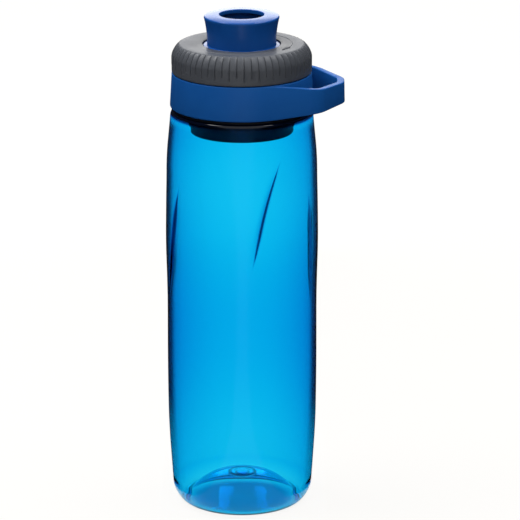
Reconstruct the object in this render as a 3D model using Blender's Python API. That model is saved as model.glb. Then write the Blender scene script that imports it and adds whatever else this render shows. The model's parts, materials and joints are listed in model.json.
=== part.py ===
"""Sports bottle with a screw lid, a finger loop and a twist-up drinking spout.

Metres, +Z up. The bottle stands on z = 0 and the finger loop points to +X. The origin is the middle of the
footprint of bottle and loop together, so the bottle's own axis lies a little to -X of it. The spout is up.
"""

from math import acos, cos, pi, radians, sin, tau

import bmesh
import bpy
from mathutils import Matrix, Vector

# Bottle body
BODY_RADIUS = 0.0386  # at the belly, the widest place
BELLY_HEIGHT = 0.1460
SHOULDER_RADIUS = 0.0360
SHOULDER_HEIGHT = 0.2066  # flat shoulder under the lid
SHOULDER_ROUND = 0.0040
WAIST_RADIUS = 0.0379
WAIST_HEIGHT = 0.1055
HIP_RADIUS = 0.0381
HIP_HEIGHT = 0.0780
TAPER_RADIUS = 0.0378
TAPER_HEIGHT = 0.0500  # below this the body narrows to the foot
FOOT_RADIUS = 0.0352
HEEL_HEIGHT = 0.0065  # the heel round ends here
STANDING_RADIUS = 0.0310  # outer edge of the flat ring that the bottle stands on
STANDING_WIDTH = 0.0025
PUNT_RISE = 0.0094  # hollow under the base
GATE_RADIUS = 0.0070  # small round recess at the middle of the base
GATE_DEPTH = 0.0008
GATE_SLOPE = 0.0007
BODY_WALL = 0.0018
BASE_WALL = 0.0023

# Four creases that wind a little way round the body
CREASE_COUNT = 4
CREASE_DEPTH = 0.0013
CREASE_TOP = 0.1900
CREASE_BOTTOM = 0.1040
CREASE_ANGLE = radians(-75)  # of the front crease, from +X, at the belly
CREASE_TURN = radians(28)  # from its bottom to its top
CREASE_STEP = radians(3)
CREASE_EASE = 1.3  # over 1, the wall comes back to its full radius sooner

# Neck and screw thread
NECK_RADIUS = 0.0300
NECK_WALL = 0.0026
THREAD_LEAD = 0.0050
THREAD_TURNS = 1.25
THREAD_DEPTH = 0.0014
THREAD_ROOT = 0.0022
THREAD_CREST = 0.0010
THREAD_ABOVE_SHOULDER = 0.0056
THREAD_SINK = 0.0006  # how far a thread reaches into the wall that carries it

# Clearances
SEAT_GAP = 0.0003  # between pieces that rest on each other
TURN_GAP = 0.0004  # between pieces that turn or slide
THREAD_GAP = 0.0005
LID_GAP = 0.0007  # between the shoulder and the lid
COLLAR_GAP = 0.0005  # the dark line between collar and band

# Lid core, gasket and band
SKIRT_WALL = 0.0017
DECK_THICKNESS = 0.0020
DECK_REBATE = 0.0010  # width of the step that the band's lip lies in
GASKET_THICKNESS = 0.0012
GASKET_EDGE = 0.0004
TUBE_GAP = 0.0015  # between the lid's tube and the neck
TUBE_WALL = 0.0016
TUBE_BELOW_SHOULDER = 0.0111
UPSTAND_HEIGHT = 0.0050
UPSTAND_WALL = 0.0013
SNAP_DEPTH = 0.0009
BAND_HEIGHT = 0.0184
BAND_WALL = 0.0012  # at the top
BAND_FLARE = 0.0010  # wider by this at the bottom
BAND_EDGE = 0.0008
BAND_LIP = 0.0009

# Finger loop
LOOP_REACH = 0.0515  # from the bottle's axis
LOOP_STRAP = 0.0022
LOOP_THICKENS = 0.0080  # along this run the strap grows from the band's wall to its full thickness
LOOP_BEND_X = 0.0385
LOOP_BEND_Y = 0.0246
LOOP_BEND_ROUND = 0.0120
LOOP_TIP_Y = 0.0060
LOOP_TIP_ROUND = 0.0050
LOOP_TOP_DROP = 0.0042  # the strap is this much lower than the band at the tip
LOOP_FOOT_RISE = 0.0030

# Twist collar
COLLAR_HEIGHT = 0.0142
COLLAR_WALL = 0.0020
COLLAR_PLATE = 0.0018
COLLAR_SHOULDER_WIDTH = 0.0042
COLLAR_SHOULDER_HEIGHT = 0.0062
COLLAR_SHOULDER_POWER = 1.6
COLLAR_EDGE = 0.0004
SLEEVE_WALL = 0.0017  # behind the spiral grooves
RIB_COUNT = 60
RIB_GROOVE_WIDTH = 0.0009
RIB_GROOVE_DEPTH = 0.0006
RIB_LONG_END = 0.0022  # above the collar's lower edge
RIB_SHORT_END = 0.0038

# Spout
SPOUT_STAND = 0.0146  # above the collar
SPOUT_LIP_RADIUS = 0.0189
SPOUT_FOOT_RADIUS = 0.0173
SPOUT_HOLE_RADIUS = 0.0112
SPOUT_WALL = 0.0022
SPOUT_LIP = 0.0022
SPOUT_EDGE = 0.0008
SPOUT_TRAVEL = 0.0080
FLANGE_WIDTH = 0.0019
FLANGE_SINK = 0.0008  # below the collar's top
FLANGE_HEIGHT = 0.0048
LUG_COUNT = 3
LUG_HEIGHT = 0.0020
LUG_REACH = 0.0012
LUG_ANGLE = radians(12)
LUG_ABOVE_FLANGE_FOOT = 0.0014  # middle of the lug
COLLAR_TURN = radians(90)  # lowers the spout by its whole travel
PISTON_HEIGHT = 0.0152
PISTON_WALL = 0.0054
SEAL_SECTION = 0.0009  # radius of the soft ring's section
SEAL_UP = 0.0079  # middle of the soft ring, above the piston's foot

# Stopper
SPIDER_HEIGHT = 0.0024
SPIDER_WIDTH = 0.0018
SPIDER_ROOM = 0.0009  # left under the piston when it is down
WING_COUNT = 3
WING_THICKNESS = 0.0018
WING_OVERLAP = 0.0042  # of the wings in the piston when it is up
WING_SLOT_DEPTH = 0.0019
STEM_RADIUS = 0.0034
HEAD_HEIGHT = 0.0028
HEAD_CONE = 0.0040
HEAD_GAP = 0.0007  # round the head in the spout's hole
HEAD_SEAL_HEIGHT = 0.0010
HEAD_SEAL_WIDTH = 0.0013

# Smoothness of the round forms
SEGMENTS = 36
BODY_COLUMNS = 11  # between two creases
BODY_ROWS = 16
ARC_STEPS = 3
PUNT_ROWS = 3
FLARE_STEPS = 4
SEAL_SIDES = 8
THREAD_RUN_OUT = 3  # steps over which a thread's end fades into its wall

# Sizes that follow from those above
AXIS_X = -(LOOP_REACH - BODY_RADIUS) / 2
NECK_BORE = NECK_RADIUS - NECK_WALL
THREAD_RADIUS = NECK_RADIUS + THREAD_DEPTH
SKIRT_BORE = THREAD_RADIUS + THREAD_GAP
SKIRT_RADIUS = SKIRT_BORE + SKIRT_WALL
BAND_BORE = SKIRT_RADIUS + SEAT_GAP
BAND_RADIUS = BAND_BORE + BAND_WALL
BAND_FOOT = SHOULDER_HEIGHT + LID_GAP
BAND_TOP = BAND_FOOT + BAND_HEIGHT
SKIRT_FOOT = BAND_FOOT + SEAT_GAP
REBATE_TOP = BAND_TOP - BAND_LIP - SEAT_GAP
DECK_TOP = REBATE_TOP + BAND_LIP
DECK_FOOT = DECK_TOP - DECK_THICKNESS
RIM_HEIGHT = DECK_FOOT - GASKET_THICKNESS - 2 * SEAT_GAP
TUBE_RADIUS = NECK_BORE - TUBE_GAP
TUBE_BORE = TUBE_RADIUS - TUBE_WALL
TUBE_FOOT = SHOULDER_HEIGHT - TUBE_BELOW_SHOULDER
COLLAR_RADIUS = BAND_RADIUS
COLLAR_FOOT = BAND_TOP + COLLAR_GAP
COLLAR_TOP = COLLAR_FOOT + COLLAR_HEIGHT
COLLAR_BORE = COLLAR_RADIUS - COLLAR_WALL
UPSTAND_TOP = DECK_TOP + UPSTAND_HEIGHT
UPSTAND_RADIUS = COLLAR_BORE - SNAP_DEPTH - TURN_GAP
SNAP_LEVEL = UPSTAND_TOP - 2 * SNAP_DEPTH  # the collar's bead lies under the cap's
FLANGE_RADIUS = SPOUT_FOOT_RADIUS + FLANGE_WIDTH
FLANGE_TOP = COLLAR_TOP - FLANGE_SINK
FLANGE_FOOT = FLANGE_TOP - FLANGE_HEIGHT
SLEEVE_BORE = FLANGE_RADIUS + TURN_GAP
LUG_RADIUS = SLEEVE_BORE + LUG_REACH
GROOVE_RADIUS = LUG_RADIUS + TURN_GAP
SLEEVE_RADIUS = GROOVE_RADIUS + SLEEVE_WALL
SLEEVE_FOOT = COLLAR_FOOT + COLLAR_EDGE
LUG_LEVEL = FLANGE_FOOT + LUG_ABOVE_FLANGE_FOOT
SPOUT_TOP = COLLAR_TOP + SPOUT_STAND
SPOUT_BORE = SPOUT_FOOT_RADIUS - SPOUT_WALL
PISTON_RADIUS = TUBE_BORE - TURN_GAP
PISTON_BORE = PISTON_RADIUS - PISTON_WALL
PISTON_FOOT = TUBE_FOOT + SPIDER_HEIGHT + SPIDER_ROOM + SPOUT_TRAVEL
PISTON_TOP = PISTON_FOOT + PISTON_HEIGHT
SEAL_LEVEL = PISTON_FOOT + SEAL_UP
SEAL_RADIUS = TUBE_BORE - SEAT_GAP - SEAL_SECTION  # middle of the soft ring's section
SEAL_GROOVE = SEAL_RADIUS - SEAL_SECTION - SEAT_GAP
SPIDER_RADIUS = TUBE_BORE - SEAT_GAP
SPIDER_TOP = TUBE_FOOT + SPIDER_HEIGHT
WING_RADIUS = PISTON_BORE + WING_SLOT_DEPTH - TURN_GAP
WING_TOP = PISTON_FOOT + WING_OVERLAP
WING_SLOT_TOP = WING_TOP + SPOUT_TRAVEL + TURN_GAP
STOPPER_TOP = SPOUT_TOP - SPOUT_TRAVEL
HEAD_RADIUS = SPOUT_HOLE_RADIUS - HEAD_GAP
HEAD_SEAL_RADIUS = SPOUT_HOLE_RADIUS - SEAT_GAP
HEAD_SEAL_BORE = HEAD_SEAL_RADIUS - HEAD_SEAL_WIDTH
CREASE_MIDDLE = (CREASE_TOP + CREASE_BOTTOM) / 2


def clear_scene():
    for old in list(bpy.data.objects):
        bpy.data.objects.remove(old)


def material(name, colour, roughness, transmission=0.0):
    made = bpy.data.materials.new(name)
    made.use_nodes = True
    shader = made.node_tree.nodes["Principled BSDF"]
    shader.inputs["Base Color"].default_value = (*colour, 1)
    shader.inputs["Roughness"].default_value = roughness
    shader.inputs["Metallic"].default_value = 0
    shader.inputs["Transmission Weight"].default_value = transmission
    made.diffuse_color = (*colour, 1)
    return made


def arc(centre, radii, start, end, steps=ARC_STEPS, power=2.0):
    """Points (radius, height) on a round corner, from one angle to another. A power under 2 flattens it."""
    points = []
    for i in range(steps + 1):
        angle = start + (end - start) * i / steps
        across = abs(cos(angle)) ** (2 / power) * (1 if cos(angle) > 0 else -1)
        up = abs(sin(angle)) ** (2 / power) * (1 if sin(angle) > 0 else -1)
        points.append((centre[0] + radii[0] * across, centre[1] + radii[1] * up))
    return points


def smooth_step(value, low, high):
    share = min(max((value - low) / (high - low), 0), 1)
    return share * share * (3 - 2 * share)


def turned(profile, segments=SEGMENTS, closed=True):
    """A solid of revolution about Z. An open profile starts and ends on the axis."""
    mesh = bmesh.new()
    verts = [mesh.verts.new((radius, 0, height)) for radius, height in profile]
    edges = [mesh.edges.new(pair) for pair in zip(verts, verts[1:])]
    if closed:
        edges.append(mesh.edges.new((verts[-1], verts[0])))
    bmesh.ops.spin(
        mesh, geom=verts + edges, cent=(0, 0, 0), axis=(0, 0, 1), angle=tau, steps=segments, use_merge=True
    )
    bmesh.ops.remove_doubles(mesh, verts=mesh.verts, dist=1e-7)
    bmesh.ops.recalc_face_normals(mesh, faces=mesh.faces)
    return mesh


def lofted(sections):
    """A solid through a row of closed sections that have the same number of points."""
    mesh = bmesh.new()
    start = [mesh.verts.new(point) for point in sections[0]]
    face = mesh.faces.new(start)
    for section in sections[1:]:
        face = bmesh.ops.extrude_discrete_faces(mesh, faces=[face])["faces"][0]
        for vert, point in zip(face.verts, section):
            vert.co = point
    mesh.faces.new(start)
    bmesh.ops.recalc_face_normals(mesh, faces=mesh.faces)
    return mesh


def repeated(mesh, count):
    """The same solid that many times round the axis, in one mesh."""
    bmesh.ops.spin(
        mesh,
        geom=mesh.verts[:] + mesh.edges[:] + mesh.faces[:],
        cent=(0, 0, 0),
        axis=(0, 0, 1),
        angle=tau * (count - 1) / count,
        steps=count - 1,
        use_duplicate=True,
    )
    bmesh.ops.recalc_face_normals(mesh, faces=mesh.faces)
    return mesh


def helix(points, rise, start, end, ends=0):
    """A solid that winds a section of (radius, height) points round the axis, rising that much each turn.

    With ends, the first and last few sections shrink towards the section's first point.
    """
    steps = max(3, round((end - start) / tau * SEGMENTS))
    root = points[0][0]
    sections = []
    for i in range(steps + 1):
        angle = start + (end - start) * i / steps
        share = min(1, (min(i, steps - i) + 0.3) / ends) if ends else 1
        lift = rise * (angle - start) / tau
        sections.append(
            [
                (
                    (root + (radius - root) * share) * cos(angle),
                    (root + (radius - root) * share) * sin(angle),
                    height + lift,
                )
                for radius, height in points
            ]
        )
    return lofted(sections)


def plate(outline, thickness):
    """A flat plate that stands out from the axis along +X, with an outline of (radius, height) points."""
    half = thickness / 2
    return lofted([[(radius, y, height) for radius, height in outline] for y in (-half, half)])


def placed(name, mesh, finish, axis):
    """The mesh as a named object on the bottle's axis."""
    data = bpy.data.meshes.new(name)
    mesh.to_mesh(data)
    mesh.free()
    data.shade_smooth()
    data.set_sharp_from_angle(angle=radians(30))
    data.materials.append(finish)
    made = bpy.data.objects.new(name, data)
    bpy.context.scene.collection.objects.link(made)
    made.parent = axis
    return made


def combine(target, name, mesh, operation):
    """Joins the mesh to the target or cuts it out, with the mesh kept as a hidden helper."""
    helper = placed(name, mesh, target.data.materials[0], target.parent)
    helper.hide_render = True
    helper.display_type = "WIRE"
    modifier = target.modifiers.new(name, "BOOLEAN")
    modifier.operation = operation
    modifier.object = helper


def body_radius(height):
    """Radius of the body's outside between heel and shoulder, on a smooth curve through its main places."""
    places = [
        (HEEL_HEIGHT, FOOT_RADIUS),
        (TAPER_HEIGHT, TAPER_RADIUS),
        (HIP_HEIGHT, HIP_RADIUS),
        (WAIST_HEIGHT, WAIST_RADIUS),
        (BELLY_HEIGHT, BODY_RADIUS),
        (SHOULDER_HEIGHT - SHOULDER_ROUND, SHOULDER_RADIUS),
    ]
    slopes = [(b[1] - a[1]) / (b[0] - a[0]) for a, b in zip(places, places[1:])]
    bends = [slopes[0]]
    for before, after in zip(slopes, slopes[1:]):
        bends.append(0 if before * after <= 0 else 2 * before * after / (before + after))
    bends.append(slopes[-1])
    i = max(k for k in range(len(slopes)) if height >= places[k][0] or k == 0)
    span = places[i + 1][0] - places[i][0]
    t = (height - places[i][0]) / span
    return (
        places[i][1] * (1 + 2 * t) * (1 - t) ** 2
        + bends[i] * span * t * (1 - t) ** 2
        + places[i + 1][1] * t * t * (3 - 2 * t)
        + bends[i + 1] * span * t * t * (t - 1)
    )


def punt_height(radius, inner_edge):
    """Underside of the domed base."""
    return PUNT_RISE * (1 - (radius / inner_edge) ** 2)


def crease_depth(height):
    rise = smooth_step(height, CREASE_BOTTOM, CREASE_MIDDLE)
    fall = smooth_step(height, CREASE_MIDDLE, CREASE_TOP)
    return CREASE_DEPTH * rise * (1 - fall)


def crease_angle(height):
    within = min(max(height, CREASE_BOTTOM), CREASE_TOP)
    return CREASE_ANGLE + CREASE_TURN * (within - BELLY_HEIGHT) / (CREASE_TOP - CREASE_BOTTOM)


def crease_body(mesh):
    """Moves the columns of points onto the creases, and steps the wall in on one side of each crease."""
    panel = tau / CREASE_COUNT
    columns = CREASE_COUNT * BODY_COLUMNS
    for vert in mesh.verts:
        radius = vert.co.xy.length
        if radius < GATE_RADIUS / 2:
            continue
        column = round(Vector((1, 0)).angle_signed(vert.co.xy) / -tau * columns) % columns
        crease, place = divmod(column, BODY_COLUMNS)
        share = place / (BODY_COLUMNS - 1)
        angle = crease_angle(vert.co.z) + crease * panel + share * (panel - CREASE_STEP)
        radius -= crease_depth(vert.co.z) * (1 - share) ** CREASE_EASE
        vert.co.xy = radius * cos(angle), radius * sin(angle)


def bottle_profile():
    """From the middle of the underside round to the middle of the floor inside."""
    ring_inner = STANDING_RADIUS - STANDING_WIDTH
    wall_top = SHOULDER_HEIGHT - SHOULDER_ROUND
    rows = [HEEL_HEIGHT + (wall_top - HEEL_HEIGHT) * i / BODY_ROWS for i in range(1, BODY_ROWS)]
    punt_step = (ring_inner - GATE_RADIUS) / (PUNT_ROWS + 1)
    punt = [GATE_RADIUS + punt_step * i for i in range(1, PUNT_ROWS + 1)]
    gate = punt_height(GATE_RADIUS, ring_inner)

    points = [(0, gate + GATE_DEPTH), (GATE_RADIUS - GATE_SLOPE, gate + GATE_DEPTH), (GATE_RADIUS, gate)]
    points += [(radius, punt_height(radius, ring_inner)) for radius in punt]
    points.append((ring_inner, 0))
    points += arc(
        (STANDING_RADIUS, HEEL_HEIGHT), (FOOT_RADIUS - STANDING_RADIUS, HEEL_HEIGHT), -pi / 2, 0
    )
    points += [(body_radius(height), height) for height in rows]
    round_centre = (SHOULDER_RADIUS - SHOULDER_ROUND, wall_top)
    points += arc(round_centre, (SHOULDER_ROUND, SHOULDER_ROUND), 0, pi / 2)
    points += [(NECK_RADIUS, SHOULDER_HEIGHT), (NECK_RADIUS, RIM_HEIGHT), (NECK_BORE, RIM_HEIGHT)]

    inner_round = max(SHOULDER_ROUND - BODY_WALL, BODY_WALL)
    inner_top = SHOULDER_HEIGHT - BODY_WALL
    points.append((NECK_BORE, inner_top))
    inner_centre = (SHOULDER_RADIUS - BODY_WALL - inner_round, inner_top - inner_round)
    points += arc(inner_centre, (inner_round, inner_round), pi / 2, 0)
    points += [(body_radius(height) - BODY_WALL, height) for height in reversed(rows[::2])]
    heel_radii = (FOOT_RADIUS - STANDING_RADIUS - BODY_WALL / 2, HEEL_HEIGHT - BASE_WALL)
    inner_heel = (FOOT_RADIUS - BODY_WALL - heel_radii[0], HEEL_HEIGHT)
    points += arc(inner_heel, heel_radii, 0, -pi / 2)
    points += [(radius, punt_height(radius, ring_inner) + BASE_WALL) for radius in reversed(punt)]
    points.append((0, PUNT_RISE + BASE_WALL))
    return points


def thread_section(root, crest, sink):
    """Section of a thread from its root radius to its crest radius, sunk into the wall behind it."""
    out = 1 if crest > root else -1
    return [
        (root - out * sink, -THREAD_ROOT / 2),
        (root, -THREAD_ROOT / 2),
        (crest, -THREAD_CREST / 2),
        (crest, THREAD_CREST / 2),
        (root, THREAD_ROOT / 2),
        (root - out * sink, THREAD_ROOT / 2),
    ]


def raised(section, height):
    return [(radius, z + height) for radius, z in section]


def make_bottle(axis, finish):
    mesh = turned(bottle_profile(), CREASE_COUNT * BODY_COLUMNS, closed=False)
    crease_body(mesh)
    bottle = placed("bottle_body", mesh, finish, axis)
    section = thread_section(NECK_RADIUS, THREAD_RADIUS, THREAD_SINK)
    start = SHOULDER_HEIGHT + THREAD_ABOVE_SHOULDER
    ridge = helix(raised(section, start), THREAD_LEAD, 0, THREAD_TURNS * tau, ends=THREAD_RUN_OUT)
    combine(bottle, "neck_thread", ridge, "UNION")


def make_cap(axis, finish):
    rebate = SKIRT_RADIUS - DECK_REBATE
    inner_upstand = UPSTAND_RADIUS - UPSTAND_WALL
    bead = UPSTAND_RADIUS + SNAP_DEPTH
    profile = [
        (TUBE_BORE, DECK_TOP),
        (inner_upstand, DECK_TOP),
        (inner_upstand, UPSTAND_TOP),
        (UPSTAND_RADIUS, UPSTAND_TOP),
        (bead, UPSTAND_TOP - SNAP_DEPTH),
        (bead, SNAP_LEVEL + SNAP_DEPTH / 2),
        (UPSTAND_RADIUS, SNAP_LEVEL),
        (UPSTAND_RADIUS, DECK_TOP),
        (rebate, DECK_TOP),
        (rebate, REBATE_TOP),
        (SKIRT_RADIUS, REBATE_TOP),
        (SKIRT_RADIUS, SKIRT_FOOT),
        (SKIRT_BORE, SKIRT_FOOT),
        (SKIRT_BORE, DECK_FOOT),
        (TUBE_RADIUS, DECK_FOOT),
        (TUBE_RADIUS, TUBE_FOOT),
        (TUBE_BORE, TUBE_FOOT),
    ]
    cap = placed("inner_cap", turned(profile), finish, axis)
    section = thread_section(SKIRT_BORE, NECK_RADIUS + THREAD_GAP, THREAD_SINK)
    below = (THREAD_ROOT + THREAD_CREST) / 2 + TURN_GAP
    start = SHOULDER_HEIGHT + THREAD_ABOVE_SHOULDER - below
    ridge = helix(raised(section, start), THREAD_LEAD, 0, THREAD_TURNS * tau, ends=THREAD_RUN_OUT)
    combine(cap, "cap_thread", ridge, "UNION")


def make_gasket(axis, finish):
    low = RIM_HEIGHT + SEAT_GAP
    inner = TUBE_RADIUS + GASKET_EDGE
    outer = SKIRT_BORE - GASKET_EDGE
    high = low + GASKET_THICKNESS
    placed("rim_gasket", turned([(inner, high), (outer, high), (outer, low), (inner, low)]), finish, axis)


def rounded_path(corners, rounds, steps=ARC_STEPS):
    """Points along straight runs between the corners, with each inner corner rounded by its radius."""
    path = [Vector(corners[0])]
    for before, corner, after, radius in zip(corners, corners[1:], corners[2:], rounds):
        corner = Vector(corner)
        back = (Vector(before) - corner).normalized()
        on = (Vector(after) - corner).normalized()
        half = back.angle(on) / 2
        reach = radius * cos(half) / sin(half)
        centre = corner + (back + on).normalized() * radius / sin(half)
        first = corner + back * reach - centre
        turn = first.angle_signed(corner + on * reach - centre)
        for i in range(steps + 1):
            swung = Matrix.Rotation(-turn * i / steps, 2) @ first
            path.append(centre + swung)
    path.append(Vector(corners[-1]))
    return path


def make_band(axis, finish):
    lip = BAND_BORE - DECK_REBATE
    foot_radius = BAND_RADIUS + BAND_FLARE
    profile = [
        (lip, BAND_TOP),
        (BAND_RADIUS - BAND_EDGE / 2, BAND_TOP),
        (BAND_RADIUS, BAND_TOP - BAND_EDGE / 2),
        *arc((foot_radius - BAND_EDGE, BAND_FOOT + BAND_EDGE), (BAND_EDGE, BAND_EDGE), 0, -pi / 2, 2),
        (BAND_BORE, BAND_FOOT),
        (BAND_BORE, BAND_TOP - BAND_LIP),
        (lip, BAND_TOP - BAND_LIP),
    ]
    band = placed("loop_band", turned(profile), finish, axis)

    # The straps leave the middle of the band's wall along its tangents, thicken and meet at the tip
    wall_middle = BAND_BORE + BAND_WALL / 2
    bend = Vector((LOOP_BEND_X, LOOP_BEND_Y))
    leaving = bend.to_2d().angle_signed(Vector((1, 0))) + acos(wall_middle / bend.length)
    start = wall_middle * Vector((cos(leaving), sin(leaving)))
    middle = LOOP_REACH - LOOP_STRAP / 2
    half = rounded_path([start, bend, (middle, LOOP_TIP_Y), (middle, 0)], [LOOP_BEND_ROUND, LOOP_TIP_ROUND])
    run = (bend - start).normalized() * LOOP_THICKENS
    half[1:1] = [start + run / 2, start + run]
    path = half + [Vector((point.x, -point.y)) for point in reversed(half[:-1])]
    thin = BAND_WALL - SEAT_GAP
    sections = []
    for i, point in enumerate(path):
        along = (path[min(i + 1, len(path) - 1)] - path[max(i - 1, 0)]).normalized()
        gone = (Vector((point.x, abs(point.y))) - start).length / LOOP_THICKENS
        thickness = thin + (LOOP_STRAP - thin) * min(gone, 1)
        across = Vector((-along.y, along.x)) * thickness / 2
        share = smooth_step(point.x, start.x, LOOP_REACH)
        high = BAND_TOP - BAND_EDGE / 2 - LOOP_TOP_DROP * share
        low = BAND_FOOT + BAND_EDGE + LOOP_FOOT_RISE * share
        out, back = point + across, point - across
        sections.append([(*out, high), (*out, low), (*back, low), (*back, high)])
    combine(band, "loop_strap", lofted(sections), "UNION")


def collar_shoulder(inset=0.0):
    """The collar's rounded outer edge, from its top down to its side, or a line that far inside it."""
    centre = (COLLAR_RADIUS - COLLAR_SHOULDER_WIDTH, COLLAR_TOP - COLLAR_SHOULDER_HEIGHT)
    radii = (COLLAR_SHOULDER_WIDTH - inset, COLLAR_SHOULDER_HEIGHT - inset)
    return arc(centre, radii, pi / 2, 0, power=COLLAR_SHOULDER_POWER)


def rib_groove(end_height):
    """A narrow cutter that follows the collar's shoulder and side down to that height."""
    floor = collar_shoulder(RIB_GROOVE_DEPTH)
    floor.append((COLLAR_RADIUS - RIB_GROOVE_DEPTH, end_height))
    outside = COLLAR_RADIUS + RIB_GROOVE_DEPTH
    above = COLLAR_TOP + RIB_GROOVE_DEPTH
    outline = floor + [(outside, end_height), (outside, above), (floor[0][0], above)]
    return plate(outline, RIB_GROOVE_WIDTH)


def make_collar(axis, finish):
    bead = COLLAR_BORE - SNAP_DEPTH
    bead_top = SNAP_LEVEL - SEAT_GAP
    plate_foot = COLLAR_TOP - COLLAR_PLATE
    shoulder_foot = COLLAR_TOP - COLLAR_SHOULDER_HEIGHT
    profile = [
        (SLEEVE_BORE + COLLAR_EDGE, COLLAR_TOP),
        *collar_shoulder(),
        (COLLAR_RADIUS, COLLAR_FOOT + COLLAR_EDGE),
        (COLLAR_RADIUS - COLLAR_EDGE, COLLAR_FOOT),
        (bead + COLLAR_EDGE, COLLAR_FOOT),
        (bead, COLLAR_FOOT + COLLAR_EDGE),
        (bead, bead_top - SNAP_DEPTH / 2),
        (COLLAR_BORE, bead_top),
        (COLLAR_BORE, shoulder_foot),
        (COLLAR_RADIUS - COLLAR_SHOULDER_WIDTH - COLLAR_EDGE, plate_foot),
        (SLEEVE_RADIUS, plate_foot),
        (SLEEVE_RADIUS, SLEEVE_FOOT),
        (SLEEVE_BORE, SLEEVE_FOOT),
        (SLEEVE_BORE, COLLAR_TOP - COLLAR_EDGE),
    ]
    collar = placed("twist_collar", turned(profile), finish, axis)

    # Long and short grooves take turns round the grip
    long_grooves = rib_groove(COLLAR_FOOT + RIB_LONG_END)
    combine(collar, "long_grooves", repeated(long_grooves, RIB_COUNT // 2), "DIFFERENCE")
    short_groove = rib_groove(COLLAR_FOOT + RIB_SHORT_END)
    bmesh.ops.rotate(short_groove, verts=short_groove.verts, matrix=Matrix.Rotation(tau / RIB_COUNT, 3, "Z"))
    combine(collar, "short_grooves", repeated(short_groove, RIB_COUNT // 2), "DIFFERENCE")

    # Spiral grooves for the spout's lugs, which fall away as the collar is turned
    half = LUG_HEIGHT / 2 + TURN_GAP
    margin = LUG_ANGLE / 2 + TURN_GAP / SLEEVE_BORE * 2
    fall = -SPOUT_TRAVEL * tau / COLLAR_TURN
    inside = SLEEVE_BORE - LUG_REACH
    level = LUG_LEVEL - fall * margin / tau
    section = [
        (inside, level - half),
        (GROOVE_RADIUS, level - half),
        (GROOVE_RADIUS, level + half),
        (inside, level + half),
    ]
    groove = helix(section, fall, -margin, COLLAR_TURN + margin)
    combine(collar, "spiral_grooves", repeated(groove, LUG_COUNT), "DIFFERENCE")


def make_spout(axis, finish):
    flare = []
    flare_top = SPOUT_TOP - SPOUT_EDGE
    for i in range(1, FLARE_STEPS + 1):
        share = i / FLARE_STEPS
        radius = SPOUT_FOOT_RADIUS + (SPOUT_LIP_RADIUS - SPOUT_FOOT_RADIUS) * (1 - share) ** 2
        flare.append((radius, flare_top + (COLLAR_TOP - flare_top) * share))
    lip_foot = SPOUT_TOP - SPOUT_LIP
    groove = SEAL_SECTION + SEAT_GAP
    profile = [
        (SPOUT_HOLE_RADIUS + SPOUT_EDGE / 2, SPOUT_TOP),
        *arc((SPOUT_LIP_RADIUS - SPOUT_EDGE, flare_top), (SPOUT_EDGE, SPOUT_EDGE), pi / 2, 0, 2),
        *flare,
        (SPOUT_FOOT_RADIUS, FLANGE_TOP),
        (FLANGE_RADIUS, FLANGE_TOP),
        (FLANGE_RADIUS, FLANGE_FOOT),
        (SPOUT_FOOT_RADIUS, FLANGE_FOOT),
        (SPOUT_FOOT_RADIUS, PISTON_TOP + SPOUT_EDGE),
        (PISTON_RADIUS - SPOUT_EDGE, PISTON_TOP),
        (PISTON_RADIUS, PISTON_TOP - SPOUT_EDGE),
        (PISTON_RADIUS, SEAL_LEVEL + groove),
        (SEAL_GROOVE, SEAL_LEVEL + groove),
        (SEAL_GROOVE, SEAL_LEVEL - groove),
        (PISTON_RADIUS, SEAL_LEVEL - groove),
        (PISTON_RADIUS, PISTON_FOOT + SPOUT_EDGE),
        (PISTON_RADIUS - SPOUT_EDGE, PISTON_FOOT),
        (PISTON_BORE, PISTON_FOOT),
        (PISTON_BORE, WING_SLOT_TOP),
        (SPOUT_BORE, PISTON_TOP + SPOUT_EDGE),
        (SPOUT_BORE, lip_foot - SPOUT_EDGE),
        (SPOUT_BORE - SPOUT_EDGE, lip_foot),
        (SPOUT_HOLE_RADIUS, lip_foot),
        (SPOUT_HOLE_RADIUS, SPOUT_TOP - SPOUT_EDGE / 2),
    ]
    spout = placed("spout", turned(profile), finish, axis)

    inside = FLANGE_RADIUS - FLANGE_WIDTH / 2
    fall = -SPOUT_TRAVEL * tau / COLLAR_TURN
    level = LUG_LEVEL - fall * LUG_ANGLE / 2 / tau
    section = [
        (inside, level - LUG_HEIGHT / 2),
        (LUG_RADIUS, level - LUG_HEIGHT / 2),
        (LUG_RADIUS, level + LUG_HEIGHT / 2),
        (inside, level + LUG_HEIGHT / 2),
    ]
    lug = helix(section, fall, -LUG_ANGLE / 2, LUG_ANGLE / 2)
    combine(spout, "spout_lugs", repeated(lug, LUG_COUNT), "UNION")
    slot_inner = PISTON_BORE / 2
    slot_outer = PISTON_BORE + WING_SLOT_DEPTH
    slot_foot = PISTON_FOOT - SPOUT_EDGE
    outline = [
        (slot_inner, slot_foot),
        (slot_outer, slot_foot),
        (slot_outer, WING_SLOT_TOP),
        (slot_inner, WING_SLOT_TOP),
    ]
    slot = plate(outline, WING_THICKNESS + 2 * TURN_GAP)
    combine(spout, "wing_slots", repeated(slot, WING_COUNT), "DIFFERENCE")


def make_piston_seal(axis, finish):
    section = arc((SEAL_RADIUS, SEAL_LEVEL), (SEAL_SECTION, SEAL_SECTION), 0, -tau, SEAL_SIDES)
    placed("piston_seal", turned(section[:-1]), finish, axis)


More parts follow.
